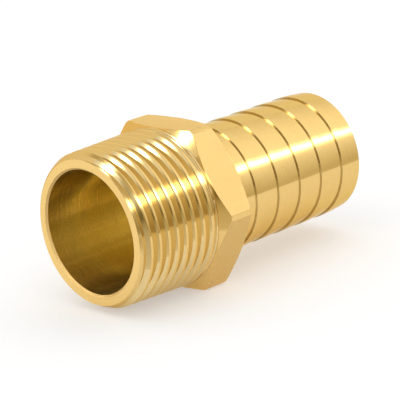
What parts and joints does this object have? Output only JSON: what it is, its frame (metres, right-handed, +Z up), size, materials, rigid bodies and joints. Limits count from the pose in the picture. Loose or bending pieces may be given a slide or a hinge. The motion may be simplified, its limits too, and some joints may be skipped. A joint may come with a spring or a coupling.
{
  "type": "brass pipe adapter",
  "caption": "Straight brass pipe adapter with a male taper pipe thread, a wrench hexagon and a barbed hose tail, bored through.",
  "frame": {"origin": "middle of the overall length, on the axis line's foot at the hexagon's lower flat", "axes": "+X along the pipe axis from the thread's face to the hose end, +Z up away from the hexagon's lower flat"},
  "size_m": [0.0662, 0.0386, 0.034],
  "materials": {
    "brass": "bright turned brass with fine lathe rings"
  },
  "bodies": {
    "root": {"adapter_body": "brass"}
  },
  "joints": []
}
